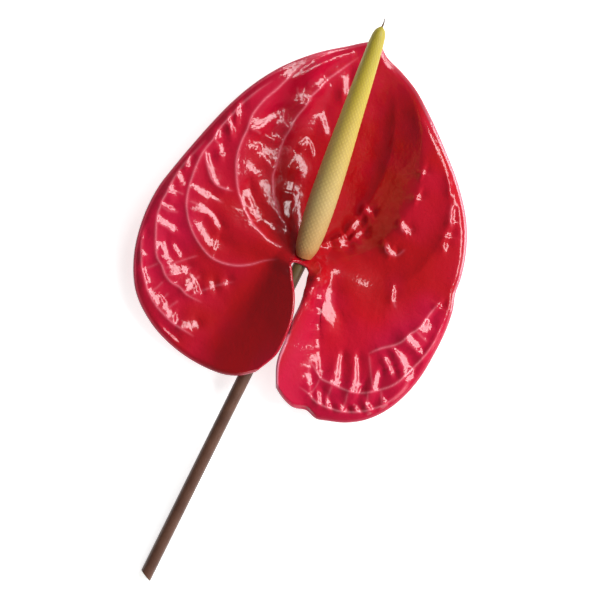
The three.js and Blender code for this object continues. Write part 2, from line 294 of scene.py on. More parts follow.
# ==== Spathe: veins ====
# Each is (crest line, height, width of the skin that it draws up).
MAIN_VEINS = [
    # left half, from the spadix outwards
    ([(-9, 6.3), (-13.5, 9), (-17, 12), (-20, 15.5), (-22.5, 19.5), (-25, 24.5), (-26, 30), (-27, 36),
      (-27.3, 41), (-27, 45), (-26.3, 50), (-25.6, 55), (-24.4, 60), (-22, 66), (-18.5, 72), (-15, 78)],
     0.9, 3.0),
    ([(-9, 1), (-14.5, 1.1), (-18, 2), (-22, 3.5), (-26, 6), (-30, 9.5), (-34, 14), (-36.5, 18), (-38.5, 22),
      (-39.7, 26), (-40.2, 30), (-40.4, 35), (-41, 40), (-40.5, 44), (-39.5, 48), (-37.5, 53), (-35.8, 58.4),
      (-33, 65.2), (-30, 70.2), (-26.8, 74.2), (-21.8, 78.4), (-16, 82.4)], 1.1, 3.4),
    ([(-8, -3.6), (-12.5, -5.8), (-16, -9), (-20, -11.6), (-24, -13.2), (-28, -13.9), (-32, -13.6),
      (-36, -12), (-40, -9.6), (-43.5, -6.6), (-46.5, -3), (-48.7, 0.8), (-50, 5), (-50.8, 10), (-51.3, 15),
      (-51.2, 20), (-50, 26), (-49.2, 32), (-47.5, 38), (-45.5, 44), (-42.8, 50), (-40, 55)], 1.1, 3.4),
    ([(-35, 11.8), (-38, 11.3), (-41, 11.2), (-44, 12.5), (-47, 15.5), (-49.5, 19), (-50.8, 21.5)], 0.9, 2.4),
    ([(-27, -30.8), (-33.5, -30.5), (-37, -29.2), (-41, -28.8), (-44, -27.3), (-46.5, -24.8), (-49.3, -23),
      (-51.5, -19.5), (-53.5, -15.5), (-55.3, -11.5), (-56.4, -7.5), (-56.8, -3), (-56.7, 2), (-56.6, 7),
      (-55.7, 12), (-54.3, 17.5), (-52.5, 24)], 1.0, 2.6),
    ([(-58.6, -14), (-57.3, -19.5), (-54.5, -26), (-50.5, -31.5), (-46.5, -36), (-42, -39.2), (-37, -41.3),
      (-32.5, -42.6), (-29, -43), (-24, -43.6)], 0.8, 2.2),
    # right half, along the margin
    ([(53, 8), (51.8, 3), (51.3, -1), (50, -4.5), (48.3, -7), (47.3, -10), (45, -13), (42, -15.5),
      (39.5, -18), (38, -20)], 0.9, 2.4),
    ([(58, 2), (58, -5), (57.3, -10), (56, -15), (54.3, -20), (52, -25.5), (48.8, -29.3), (45.5, -32),
      (42, -34.4), (38, -35.6), (34, -36.1), (30, -36.1), (26, -36.2), (23, -35), (20, -33.2), (17.5, -31.8)],
     1.3, 2.8),
    ([(56.6, -20), (55, -28), (52, -34), (48, -38.3), (44, -41.3), (40, -43.3), (36, -44.5), (32, -45),
      (28, -44.8), (24, -43.6), (20, -42.8)], 0.9, 2.2),
]

RIGHT_VEINS = [
    # the smoother swells of the right half, from the spadix outwards
    ([(3.5, 6), (6, 8.8), (9, 11.3), (12, 13.8), (14.3, 17), (15.4, 21), (16, 26), (16.4, 31),
      (16.6, 37)], 0.7, 2.4),
    ([(6, 8.8), (9, 12), (10.8, 16), (11.4, 20), (12.3, 24), (13.4, 29), (14.2, 35), (14.2, 42), (13.2, 50),
      (11, 58), (7.5, 66), (3, 73)], 1.0, 3.6),
    ([(8, 4.5), (13, 7), (18, 10.5), (22, 15), (25, 20), (27, 26), (28, 33), (28, 40), (27, 47), (25, 53),
      (21.5, 60), (16, 67), (9, 73)], 1.15, 4.6),
    ([(28, 3), (33, 4.5), (37, 8), (40, 12), (42, 17), (43, 22), (43.5, 28), (43.3, 34), (42, 40),
      (40, 46), (36, 52), (31, 57)], 1.2, 4.6),
]

# short ribs that cut the strips between the veins into cells: (crest line, height)
RIBS = [
    # left half
    ([(-35, 35.5), (-37.5, 36), (-39.8, 35.6)], 0.8),
    ([(-39.5, 36), (-36, 39), (-34.5, 43.5), (-32, 45.2)], 0.8),
    ([(-31.5, 48), (-30, 44), (-27.5, 42.2)], 0.9),
    ([(-35, 32), (-31.5, 29.2), (-26.5, 26.5)], 0.9),
    ([(-31, 57.5), (-28, 54), (-26, 52.8)], 0.8),
    ([(-31, 16), (-28, 12.5), (-24.5, 8.5), (-20.5, 5.3)], 0.7),
    ([(-50.5, 6.6), (-46, 7.4), (-40, 6), (-36, 6.2)], 0.8),
    ([(-48.6, 1), (-44, 1.4), (-38, 0.6), (-34, -1.6)], 0.8),
    ([(-56.5, 1.4), (-53.5, 2.2), (-50.5, 2.4)], 0.6),
    ([(-56.5, -5), (-53, -5.4), (-49.5, -4.2)], 0.6),
    ([(-55.2, -11.3), (-51.5, -11.2), (-47.5, -12)], 0.6),
    ([(-49.5, 32.8), (-46.5, 34), (-44.3, 30.5)], 0.6),
    ([(-50, 26), (-46.5, 25), (-43.5, 21.5)], 0.6),
    ([(-45, -25.6), (-43, -22.5), (-39.5, -19), (-36, -15.5)], 0.6),
    ([(-44, -27.3), (-39.5, -24.8), (-36, -20.5)], 0.6),
    ([(-34.4, -30.4), (-33.6, -26), (-31.8, -22.2)], 0.6),
    ([(-32, -30.4), (-28.5, -26.5), (-24, -22), (-19.5, -18.5)], 0.6),
    ([(-46.8, -36), (-44.5, -33.5), (-43.4, -30)], 0.5),
    ([(-42, -39.2), (-40.5, -36.5), (-39.6, -33)], 0.5),
    ([(-37.2, -41.2), (-37, -38), (-35, -34)], 0.6),
    ([(-29.4, -43), (-27, -41), (-25.2, -38)], 0.6),
    ([(-52.8, -30), (-50, -27.5), (-48, -24.5)], 0.5),
    # right half
    ([(26.5, 20.5), (27.3, 17.2), (31, 17.4), (33, 21)], 0.7),
    ([(28, 29.5), (29.5, 26.8), (32, 29)], 0.6),
    ([(41, 44), (42.5, 39.5), (45, 36)], 0.6),
    ([(36.5, 5.5), (37.2, 2), (39.5, -0.5)], 0.6),
    ([(49.8, -4.6), (52.5, -5.6), (55.5, -6.5)], 0.7),
    ([(48, -9.4), (51, -10.2), (54.5, -11.2)], 0.7),
    ([(46.5, -14.8), (50, -17.2), (54, -20)], 0.8),
    ([(43.5, -18.8), (47, -21), (50, -23.4)], 0.5),
    ([(38.2, -20.4), (40.5, -24), (43, -28), (45.6, -31.4)], 0.9),
    ([(34.3, -23.5), (36.5, -28), (39.5, -33), (41, -35)], 0.9),
    ([(28.4, -24), (29.3, -29), (31, -34), (32, -36)], 0.9),
    ([(18.4, -31.8), (20.6, -37), (24, -43)], 0.7),
    ([(25.6, -36.4), (25.4, -40), (24.4, -43.4)], 0.6),
    ([(46.4, -39.4), (45.4, -36), (44, -33)], 0.5),
    ([(38.6, -43.8), (38.2, -40), (37.2, -36)], 0.5),
    ([(32.4, -45), (31.4, -41), (31, -36.4)], 0.5),
    ([(51, -34.8), (49.5, -32.5), (48, -30)], 0.5),
]

# the fold that starts beside the spadix and turns down the right lobe along the sinus
SHOULDER = [
    ([(3.4, 1.3), (6, 1.2), (7.8, -0.4), (8.2, -4), (8.2, -8), (8, -12)], 1.0, 2.4),
]

# Where crests meet, this power of their heights adds up, so that they merge.
BLEND_POWER = 3.0
# Towards its ends a crest tapers over this share of its length to this share of its height.
END_TAPER = 0.12
END_HEIGHT = 0.15
VEIN_REACH = 20
RIB_REACH = 8
SHOULDER_REACH = 15
# The skin rises softly towards a vein. The slope to the right and up the blade is the wider one.
LEAN = np.array([0.77, 0.64])
BROAD = {"rounding": 0.8, "lee": 1.9}
# Along a vein runs a thin sharp crest, and along a rib a lower one.
VEIN_CREST = {"rounding": 0.15, "height": 0.2, "width": 0.55}
RIB_CREST = {"rounding": 0.2, "width": 1.0}
RIB_CREST_SHARE = 0.25
SHOULDER_CREST = {"rounding": 0.3}
BACK_CREST = {"rounding": 0.2, "height": 0.45, "width": 0.7}
# The pale pink line on a vein, partly the vein's own paler colour and partly a painted glint along its crest,
# a fainter one on a rib, and the wide blush beside a vein.
VEIN_LINE_AND_GLINT = {"rounding": 0.1, "height": 1.0, "width": 0.21}
RIB_LINE_AND_GLINT = {"rounding": 0.1, "height": 1.0, "width": 0.24}
RIB_LINE_AND_GLINT_SHARE = 0.4
BLUSH = {"rounding": 1.0, "height": 0.7, "width": 5.0}

# Puckers: short slopes that lean to the right and up the blade, (centre line, half width). One that
# widens has its half width at both ends.
PUCKERS = [
    # left half
    ([(-33.6, 61.4), (-32, 64)], 0.6),
    ([(-30.8, 65.8), (-28.8, 69)], 0.8),
    ([(-27.6, 70.6), (-25.6, 73)], 0.6),
    ([(-23, 76.4), (-20, 79), (-17, 81)], 0.4),
    ([(-24.5, 61.5), (-23, 65.5)], 1.0),
    ([(-29, 55.6), (-26.4, 53.2)], 1.0),
    ([(-27.6, 58.4), (-27, 55.4)], 0.6),
    ([(-17.8, 53.5), (-16, 51.2), (-13.8, 48.5)], 1.0),
    ([(-16, 71), (-14.6, 67), (-13.2, 63.5)], 1.0),
    ([(-31.2, 47.5), (-30.4, 44.6), (-28.5, 42.8), (-27, 42.3)], 0.9),
    ([(-39, 36.3), (-36.5, 38.5), (-34.7, 42.5), (-32.5, 45.8)], 0.8),
    ([(-32.9, 32.4), (-31, 29.6), (-28.6, 28), (-26.6, 27.2)], 0.6, 0.9),
    ([(-36.4, 31.4), (-34, 30.4)], 0.35),
    ([(-31.1, 38.2), (-30.7, 36)], 0.4),
    ([(-31.8, 22.8), (-30.7, 21.8)], 0.6),
    ([(-31, 17), (-28, 12.4), (-25, 9.4), (-21.4, 6)], 0.7),
    ([(-20.4, 34.5), (-18, 34), (-15.8, 31)], 1.2),
    ([(-20.5, 39), (-19, 41.8), (-16.5, 41), (-15, 39.3)], 0.45),
    ([(-47, 42.4), (-46, 39.4), (-45, 37)], 0.9),
    ([(-48, 36.5), (-46.5, 34), (-44.5, 31.5)], 0.8),
    ([(-49, 31), (-49.3, 26.4)], 0.5),
    ([(-46.5, 25.5), (-44.3, 22)], 0.8),
    ([(-48.8, 20), (-46, 16.4), (-43, 13)], 0.6),
    ([(-47.6, 6.4), (-45, 6.2), (-41.6, 6.4)], 1.0),
    ([(-55.2, 16.2), (-54.2, 12.4)], 0.7),
    ([(-56.2, 9.2), (-53.8, 6.8)], 1.2),
    ([(-56.2, 3.6), (-54.6, 1)], 1.1),
    ([(-44.5, -0.5), (-40, 0.6), (-37, -0.2), (-34.5, -1.6)], 0.9),
    ([(-40.6, -4.4), (-37.4, -7), (-34, -8.8), (-31, -8.4)], 1.5),
    ([(-55, -4), (-52.4, -4)], 0.6),
    ([(-54.6, -9.8), (-51, -10), (-48.4, -10.3)], 1.0),
    ([(-49.4, -16.6), (-47.6, -19), (-46.4, -21.6)], 0.9),
    ([(-44.8, -16.4), (-42.8, -17.6)], 0.8),
    ([(-42.4, -25.8), (-40, -24.2), (-37, -21)], 1.1, 0.5),
    ([(-35, -29.5), (-33.9, -26), (-32.3, -22.5)], 0.7),
    ([(-31.6, -28.4), (-29.6, -26.2)], 0.8),
    ([(-28, -24.8), (-25.4, -22.6)], 1.0),
    ([(-23.6, -21.2), (-21.2, -19.4)], 0.8),
    ([(-58, -17.5), (-56.5, -22), (-54, -26)], 0.6),
    ([(-52.2, -28.8), (-50.2, -31.4), (-48.4, -33.4)], 1.3),
    ([(-46.5, -34.5), (-43.5, -37), (-41, -37.2), (-40, -35.5)], 0.9),
    ([(-37.6, -39), (-35, -40.4), (-32.5, -40)], 1.0),
    ([(-29.5, -42.5), (-27.5, -41), (-25, -38.5)], 0.6),
    ([(-36, -45.8), (-34.4, -46.4)], 0.5),
    ([(-31.8, -47), (-30.4, -47.4)], 0.5),
    # right lobe
    ([(13.4, -5), (15, -8.4), (16.8, -11.4), (18.6, -13.4)], 1.9, 2.4),
    ([(9.4, -7), (11.6, -11.2)], 0.7, 0.8),
    ([(12, -12), (14.2, -16.2)], 0.8, 0.9),
    ([(14.8, -17.6), (17, -22)], 0.9, 1.1),
    ([(17.4, -22.9), (19.8, -27.4)], 1.1, 1.3),
    ([(20.3, -28.4), (22, -31.2), (23.8, -34)], 1.3, 1.5),
    ([(28.8, -25.5), (30, -30), (31.6, -34.6)], 0.7, 1.9),
    ([(34.8, -24), (36.6, -28), (39, -33.8)], 0.8, 1.4),
    ([(37.8, -34), (41.4, -34)], 1.2),
    ([(44.6, -25.4), (45.2, -28.4), (45.8, -31)], 0.9, 1.3),
    ([(45.5, -19.5), (49, -22.3)], 0.8),
    ([(46.6, -14.6), (50.4, -15.8), (52.8, -18.4)], 0.8, 2.2),
    ([(48.8, -8), (51.4, -9), (54.4, -10.6)], 1.3, 0.8),
    ([(52.3, 3.4), (51.8, -1), (52.4, -5.6)], 0.9, 2.2),
    ([(53.8, 8.6), (53.6, 7.2)], 0.5),
    ([(36.4, 4.2), (36.9, 2.6)], 0.55),
    ([(19.4, -33.6), (21.6, -38.6), (24.2, -43)], 0.6, 1.0),
    ([(28, -41.4), (29.4, -43.8)], 0.8),
    ([(32, -42.6), (33.4, -44)], 0.7),
    ([(37.6, -42.4), (39.6, -43)], 0.8),
    ([(43, -40.2), (44.4, -40.8)], 0.5),
    ([(46.3, -37.2), (48.2, -38.2)], 0.8),
    ([(51.6, -33.2), (53, -34)], 0.5),
    # upper right
    ([(4.4, 7.6), (7.4, 10.6)], 0.6),
    ([(8.2, 11.6), (10, 13.8), (11.4, 16.6)], 0.45),
    ([(11.9, 18.4), (12.9, 23.4)], 0.42),
    ([(14.2, 27.4), (15.2, 28.8)], 0.6),
    ([(9.6, 10.8), (12.8, 13.4)], 0.35),
    ([(14.2, 15.6), (15.9, 20.4)], 0.4),
    ([(28.6, 28.8), (29.6, 27.8), (30.6, 28.8)], 0.6),
    ([(27.2, 19), (28.6, 17.9), (30.6, 18.5)], 0.6),
    ([(28.8, 42), (29, 40)], 0.35),
    ([(26.6, 50.6), (26.8, 49.4)], 0.3),
    ([(42.6, 42), (43.4, 39.8), (44.2, 37.6)], 0.7),
    ([(44.8, 34), (45.2, 32)], 0.8),
    ([(45.4, 29.6), (46, 28.2)], 0.7),
    ([(37, 51), (38.6, 48)], 0.5),
    ([(3, 4), (5.2, 2.9)], 0.8),
]
# in the shade of the spadix the skin leans straight up the blade
SHADED_PUCKERS = [
    ([(-17.6, 25), (-16.6, 20.6)], 1.2, 1.6),
    ([(-15.6, 17.6), (-13, 12.6)], 1.8, 1.5),
]
# between two veins near the joint the skin lies level and stays dark
LEVEL_PUCKERS = [
    ([(-26, 13.4), (-20.5, 9.8), (-14.5, 7.4)], 1.8),
]
PUCKER_GROUPS = (PUCKERS, SHADED_PUCKERS, LEVEL_PUCKERS)
ALL_PUCKERS = PUCKERS + SHADED_PUCKERS + LEVEL_PUCKERS
# how far the skin of each group falls per millimetre to the right and up the blade
PUCKER_TILTS = np.array([[0.37, 0.25], [0.10, 0.29], [0.05, -0.05]])
# steepest turns of a pucker across its line, and its largest drop or rise along it
TURN_LIMITS = (-0.9, 0.75)
DROP_LIMIT = 0.8
# A pucker tilts the skin over its core, a multiple of its half width, and lets go over its tail,
# a multiple of its core.
PUCKER_CORE = 1.4
PUCKER_TAIL = 2.2
PUCKER_TAIL_LEAST = 2.4
PUCKER_REACH = 14
FIT_ROUNDS = 7
TURN_GAIN = 0.8
DROP_GAIN = 0.6


class Lines:
    """How far each place lies from each line, on which side, and how far along."""

    def __init__(self, x, y, lines, reach):
        self.size = len(x)
        self.parts = []
        for points, *numbers in lines:
            path = Path(points)
            line = path.points
            tangents = np.diff(line, axis=0)
            normals = np.stack([tangents[:, 1], -tangents[:, 0]], -1)
            normals /= np.linalg.norm(normals, axis=1)[:, None]
            if normals.mean(0) @ LEAN < 0:
                normals = -normals
            low, high = line.min(0) - reach, line.max(0) + reach
            near = np.flatnonzero((x > low[0]) & (x < high[0]) & (y > low[1]) & (y < high[1]))
            here = np.stack([x[near], y[near]], 1)
            gap = np.full(len(near), 1e9)
            share = np.zeros(len(near))
            offset = np.zeros(len(near))
            for k, (start, tangent, normal) in enumerate(zip(line[:-1], tangents, normals)):
                along = np.clip(((here - start) @ tangent) / (tangent @ tangent), 0, 1)
                away = here - start - along[:, None] * tangent
                distance = (away ** 2).sum(1)
                closer = np.flatnonzero(distance < gap)
                gap[closer] = distance[closer]
                share[closer] = (path.at[k] + along[closer] * (path.at[k + 1] - path.at[k])) / path.length
                offset[closer] = away[closer] @ normal
            self.parts.append((near, np.sqrt(gap), share, offset, numbers))

    def ridges(self, rounding, height=None, width=None, lee=1.0):
        """Crests along the lines, which merge where they meet. The slope towards LEAN is lee times wider."""
        total = np.zeros(self.size)
        for near, distance, share, offset, own in self.parts:
            taper = np.minimum(1, np.minimum(share, 1 - share) / END_TAPER * (1 - END_HEIGHT) + END_HEIGHT)
            run = (width or own[1]) * np.where(offset > 0, lee, 1.0)
            fall = (np.sqrt(distance ** 2 + rounding ** 2) - rounding) / run
            total[near] += ((height or own[0]) * taper * np.exp(-fall)) ** BLEND_POWER
        return total ** (1 / BLEND_POWER)


def pucker_heights(lines, turns, drops):
    """Each pucker tilts the skin across its line by its turns and lowers it along its line by its drops."""
    total = np.zeros(lines.size)
    for (near, distance, share, offset, widths), turn, drop in zip(lines.parts, turns, drops):
        stations = np.linspace(0, 1, len(turn))
        slope = np.interp(share, stations, turn)
        core = mix(widths[0], widths[-1], share) * PUCKER_CORE
        across = offset / (1 + (offset / core) ** 4) ** 0.25
        height = slope * across + np.interp(share, stations, drop)
        tail = np.maximum(core * PUCKER_TAIL, PUCKER_TAIL_LEAST)
        total[near] -= height * np.exp(-(distance / tail) ** 2)
    return total


def fit_puckers():
    """The turns and drops that bring the skin along every pucker to the tilt of its group."""
    paths = [Path(points) for points, *_ in ALL_PUCKERS]
    lines = [path.points for path in paths]
    steps = [path.length / (len(path.points) - 1) for path in paths]
    ends = np.cumsum([len(line) for line in lines])[:-1]
    places = np.vstack(lines)
    along = np.vstack([np.gradient(line, axis=0) for line in lines])
    along /= np.linalg.norm(along, axis=1)[:, None]
    across = np.stack([along[:, 1], -along[:, 0]], -1)
    across = np.vstack([part * np.sign(part.mean(0) @ LEAN) for part in np.split(across, ends)])
    spots = np.vstack([places - across, places + across, places - along, places + along])
    x, y = spots.T
    still = large_form(x, y) + base_relief(x, y)[0]
    near = Lines(x, y, ALL_PUCKERS, PUCKER_REACH)
    groups = np.repeat(range(len(PUCKER_GROUPS)), [len(group) for group in PUCKER_GROUPS])
    tilts = PUCKER_TILTS[np.repeat(groups, [len(line) for line in lines])]
    turns, drops = np.zeros(len(places)), np.split(np.zeros(len(places)), ends)
    for _ in range(FIT_ROUNDS):
        heights = still + pucker_heights(near, np.split(turns, ends), drops)
        low_across, high_across, low_along, high_along = np.split(heights, 4)
        missing = (across * tilts).sum(1) - (low_across - high_across) / 2
        turns = np.clip(turns + TURN_GAIN * missing, *TURN_LIMITS)
        missing = (along * tilts).sum(1) - (low_along - high_along) / 2
        for k, (part, step) in enumerate(zip(np.split(missing, ends), steps)):
            fall = np.cumsum(part) * step
            drops[k] = np.clip(drops[k] + DROP_GAIN * (fall - fall.mean()), -DROP_LIMIT, DROP_LIMIT)
    return np.split(turns, ends), drops


# the unevenness of the whole skin: (height, cell size, seed)
SWELLS = [(0.2, 9, 3), (0.1, 4.2, 4)]
# the fine grain, strongest on puckers and crests, in cells and in streaks that run out from the joint
GRAIN = (0.07, 1.9, 5)
STREAKS = (0.05, 1.5, 6)
STREAKS_AROUND = 30
STREAK_STRETCH = 4
GRAIN_LEAST = 0.25
# distance from the joint over which the unevenness sets in
SKIN_START = (8, 30)


def base_relief(x, y):
    """Veins, ribs and swells of the skin, without the puckers: (height, sharp crests, ribs)."""
    veins = Lines(x, y, MAIN_VEINS, VEIN_REACH)
    soft = Lines(x, y, RIGHT_VEINS, VEIN_REACH)
    ribs = Lines(x, y, RIBS, RIB_REACH)
    sharp = np.maximum(veins.ridges(**VEIN_CREST), RIB_CREST_SHARE * ribs.ridges(**RIB_CREST))
    swell = sum(height * value_noise(x, y, cell, seed) for height, cell, seed in SWELLS)
    swell = swell * smooth(*SKIN_START, np.hypot(x, y))
    return veins.ridges(**BROAD) + soft.ridges(**BROAD) + sharp + swell, sharp, ribs


def relief(x, y, fit):
    """The whole relief of the upper face: (height, ribs)."""
    height, sharp, ribs = base_relief(x, y)
    puckers = pucker_heights(Lines(x, y, ALL_PUCKERS, PUCKER_REACH), *fit)
    reach = np.hypot(x, y)
    turn = np.arctan2(x, -y) * STREAKS_AROUND
    grain = GRAIN[0] * value_noise(x, y, *GRAIN[1:])
    grain = grain + STREAKS[0] * value_noise(turn, reach / STREAK_STRETCH, *STREAKS[1:])
    grain = grain * (GRAIN_LEAST + np.clip(np.abs(puckers) + sharp, 0, 1))
    return height + puckers + grain * smooth(*SKIN_START, reach), ribs


# ==== Meshes ====
def add_object(name, data):
    obj = bpy.data.objects.new(name, data)
    bpy.context.scene.collection.objects.link(obj)
    return obj


def make_object(name, points, faces, material, marks):
    """A smooth-shaded piece; marks are numbers kept at each point for the material to read."""
    mesh = bpy.data.meshes.new(name)
    mesh.from_pydata((np.asarray(points) * MM + np.array(ORIGIN)).tolist(), [], [list(f) for f in faces])
    mesh.polygons.foreach_set("use_smooth", [True] * len(mesh.polygons))
    for key, values in marks.items():
        mesh.attributes.new(key, "FLOAT", "POINT").data.foreach_set("value", np.asarray(values, np.float32))
    obj = add_object(name, mesh)
    mesh.materials.append(material)
    return obj


def stitch(first, second, first_shares, second_shares):
    """Triangles between two rows of points, each given with its shares of the way along."""
    faces = []
    i = o = 0
    last_i, last_o = len(first) - 1, len(second) - 1
    while i < last_i or o < last_o:
        if o < last_o and (i == last_i or second_shares[o + 1] <= first_shares[i + 1]):
            faces.append((first[i], second[o + 1], second[o]))
            o += 1
        else:
            faces.append((first[i], first[i + 1], second[o]))
            i += 1
    return faces


def stitch_rows(rows):
    faces = []
    for near, far in zip(rows[:-1], rows[1:]):
        faces += stitch(near, far, *(np.arange(len(row)) / (len(row) - 1) for row in (near, far)))
    return faces


def stitch_loops(points, first, second):
    """Triangles between two closed loops that start at the same corner."""
    loops = [loop + loop[:1] for loop in (first, second)]
    shares = []
    for loop in loops:
        steps = np.linalg.norm(np.diff(points[loop], axis=0), axis=1)
        run = np.concatenate([[0], np.cumsum(steps)])
        shares.append(run / run[-1])
    return stitch(*loops, *shares)


BLADE_REACH = 70
ROW_LEAST = 10
FRONT_SPACING, QUICK_FRONT_SPACING = 0.44, 0.7
BACK_SPACING, QUICK_BACK_SPACING = 1.0, 1.6


def blade_grid(spacing):
    """Rows of (x, y, u, v) from the sinus to the margin, about one spacing apart."""
    rows, places, start = [], [], 0
    ring_count = int(round(BLADE_REACH / spacing))
    for ring in range(ring_count + 1):
        u = ring / ring_count
        row_length = mix(sinus_top.length, margin.length, u)
        count = max(ROW_LEAST, int(round(row_length / spacing)))
        v = np.linspace(0, 1, count + 1)
        places.append(np.column_stack([plan(u, v), np.full(count + 1, u), v]))
        rows.append(list(range(start, start + count + 1)))
        start += count + 1
    return rows, np.vstack(places)


def border(rows):
    """Once round the blade: down the left sinus edge, round the margin and up the right sinus edge."""
    return (
        [row[0] for row in rows]
        + rows[-1][1:]
        + [row[-1] for row in reversed(rows)][1:]
        + rows[0][1:-1][::-1]
    )


SLOPE_STEP = 0.3


def blade_surface(x, y, rim, side, height):
    """Points of one face of the blade: the middle surface pushed out along its normal."""
    step = SLOPE_STEP
    base = large_form(x, y) - RIM_ROLL * smooth(1 - RIM_BAND, 1, rim) ** 2
    slope_x = (large_form(x + step, y) - large_form(x - step, y)) / (2 * step)
    slope_y = (large_form(x, y + step) - large_form(x, y - step)) / (2 * step)
    scale = 1 / np.sqrt(1 + slope_x ** 2 + slope_y ** 2)
    normal = np.stack([-slope_x * scale, -slope_y * scale, scale], -1)
    offset = side * THICKNESS / 2 + height
    return np.stack([x, y, base], -1) + normal * offset[:, None]


# how far the rounded rim stands out, and how much of the relief shows on its underside
RIM_BULGE = 0.35
RIM_RELIEF = 0.5
# the rim's colour lies this far between the upper face's and the underside's
RIM_SIDE = 0.3


def back_height(x, y, u, fit):
    """Relief of the underside, which follows the upper face and has a crest along each vein."""
    veins = Lines(x, y, MAIN_VEINS + RIGHT_VEINS, VEIN_REACH)
    puckers = pucker_heights(Lines(x, y, ALL_PUCKERS, PUCKER_REACH), *fit)
    return (veins.ridges(**BROAD) + puckers) * rim_fade(u, x, y) - veins.ridges(**BACK_CREST)


def rim_loop(edge_front, x, y, u, height):
    """The points along the middle of the rim, between the upper face and the underside."""
    edge_back = blade_surface(x, y, u, -1, height * RIM_RELIEF)
    ahead = np.roll(edge_front, -1, 0) - np.roll(edge_front, 1, 0)
    inward = np.stack([ahead[:, 1], -ahead[:, 0], 0 * ahead[:, 0]], -1)
    inward /= np.linalg.norm(inward, axis=1)[:, None] + 1e-9
    return (edge_front + edge_back) / 2 - inward * RIM_BULGE


def blade_marks(places, ribs, edge, back_count):
    """Numbers for the material: on the upper face, then on the underside, then on the rim's loop."""
    x, y, u, v = places.T
    veins = Lines(x, y, MAIN_VEINS, VEIN_REACH)
    lines = np.maximum(veins.ridges(**VEIN_LINE_AND_GLINT), RIB_LINE_AND_GLINT_SHARE * ribs.ridges(**RIB_LINE_AND_GLINT))
    pale = painted_rim_glint(x, y, u, v)
    back, rim = np.zeros(back_count), np.zeros(len(edge))
    return {
        # vein: pale line on veins and ribs, partly their own colour, partly a painted glint along their
        # crests
        "vein": np.concatenate([lines * rim_fade(u, x, y), back, rim]),
        "side": np.concatenate([0 * x, back + 1, rim + RIM_SIDE]),
        # pale: painted glint along the rim, also on the rim's loop
        "pale": np.concatenate([pale, back, pale[edge]]),
        "crimson": np.concatenate([crimson(x, y, u, veins.ridges(**BLUSH)), back, rim + 1]),
        "lobe": np.concatenate([zone(x, y, *RIGHT_LOBE), back, rim]),
    }


def spathe_mesh():
    front_rows, front = blade_grid(FRONT_SPACING)
    back_rows, back = blade_grid(BACK_SPACING)
    x, y, u, _ = front.T
    fit = fit_puckers()
    height, ribs = relief(x, y, fit)
    height = height * rim_fade(u, x, y) + Lines(x, y, SHOULDER, SHOULDER_REACH).ridges(**SHOULDER_CREST)
    front_points = blade_surface(x, y, u, 1, height)
    back_points = blade_surface(*back.T[:3], -1, back_height(*back.T[:3], fit))
    front_edge, back_edge = border(front_rows), border(back_rows)
    loop_points = rim_loop(front_points[front_edge], *front[front_edge].T[:3], height[front_edge])

    points = np.vstack([front_points, back_points, loop_points])
    back_start = len(front_points)
    loop_start = back_start + len(back_points)
    loop = [loop_start + k for k in range(len(front_edge))]
    faces = stitch_rows(front_rows)
    faces += [(a + back_start, c + back_start, b + back_start) for a, b, c in stitch_rows(back_rows)]
    for k in range(len(loop)):
        n = (k + 1) % len(loop)
        faces.append((front_edge[k], front_edge[n], loop[n], loop[k]))
    faces += stitch_loops(points, loop, [corner + back_start for corner in back_edge])
    # the belly touches the surface and goes no lower
    points[:, 2] -= min(0, points[:, 2].min())
    return points, faces, blade_marks(front, ribs, front_edge, len(back_points))


# parts of the blade, each by its fade to the right and its fade up the blade
RIM_GLINT_ZONE = ((0, 12), (0, 16))
RIGHT_LOBE = ((12, 22), (2, -12))
UPPER_RIGHT = ((-14, 2), (-4, 14))
LEFT_HALF = ((0, -10), (-6, 8))
# where the painted rim glint sets in: on the margin in u, at the sinus in mm from its right edge
RIM_GLINT_MARGIN = (0.986, 0.996)
RIM_GLINT_END = (66, 76)
RIM_GLINT_LEAST, RIM_GLINT_MORE = 0.2, 0.5
RIM_GLINT_SINUS = (0.3, 1.0)
RIM_GLINT_SINUS_START = (0.1, 0.3)
RIM_GLINT_SINUS_SHARE = 0.8


def zone(x, y, across, up):
    return smooth(*across, x) * smooth(*up, y)


def painted_rim_glint(x, y, u, v):
    """Painted glint along the rim, strongest along the upper right margin and the right sinus edge."""
    upper_right = zone(x, y, *RIM_GLINT_ZONE) * (1 - smooth(*RIM_GLINT_END, y))
    margin_glint = smooth(*RIM_GLINT_MARGIN, u) * (RIM_GLINT_LEAST + RIM_GLINT_MORE * upper_right)
    to_right_edge = (1 - v) * mix(sinus_top.length, margin.length, u)
    sinus_glint = 1 - smooth(*RIM_GLINT_SINUS, to_right_edge)
    return np.maximum(margin_glint, RIM_GLINT_SINUS_SHARE * sinus_glint * smooth(*RIM_GLINT_SINUS_START, u))


# where the red turns bluer: towards the rim, in a strip down the right lobe that is a painted sheen
# where its fold faces the light, beside veins, and in clouds, (strength, cell size, seed)
CRIMSON_RIM = (0.45, 0.95)
UPPER_RIGHT_RIM = 0.25
LEFT_LOBE_RIM = 0.3
LEFT_LOBE_START = (-22, -40)
SHEEN_STRIP_X, SHEEN_STRIP_WIDTH = 13, 6
SHEEN_STRIP_START = (-2, -10)
INNER_LOBE_X, INNER_LOBE_WIDTH = -4, 11
INNER_LOBE_START = (0, -10)
BLUSH_SHARE = 0.5
CLOUDS = (0.25, 7, 8)
LOBE_SHARE = 0.15
LEFT_HALF_SHARE = 0.6


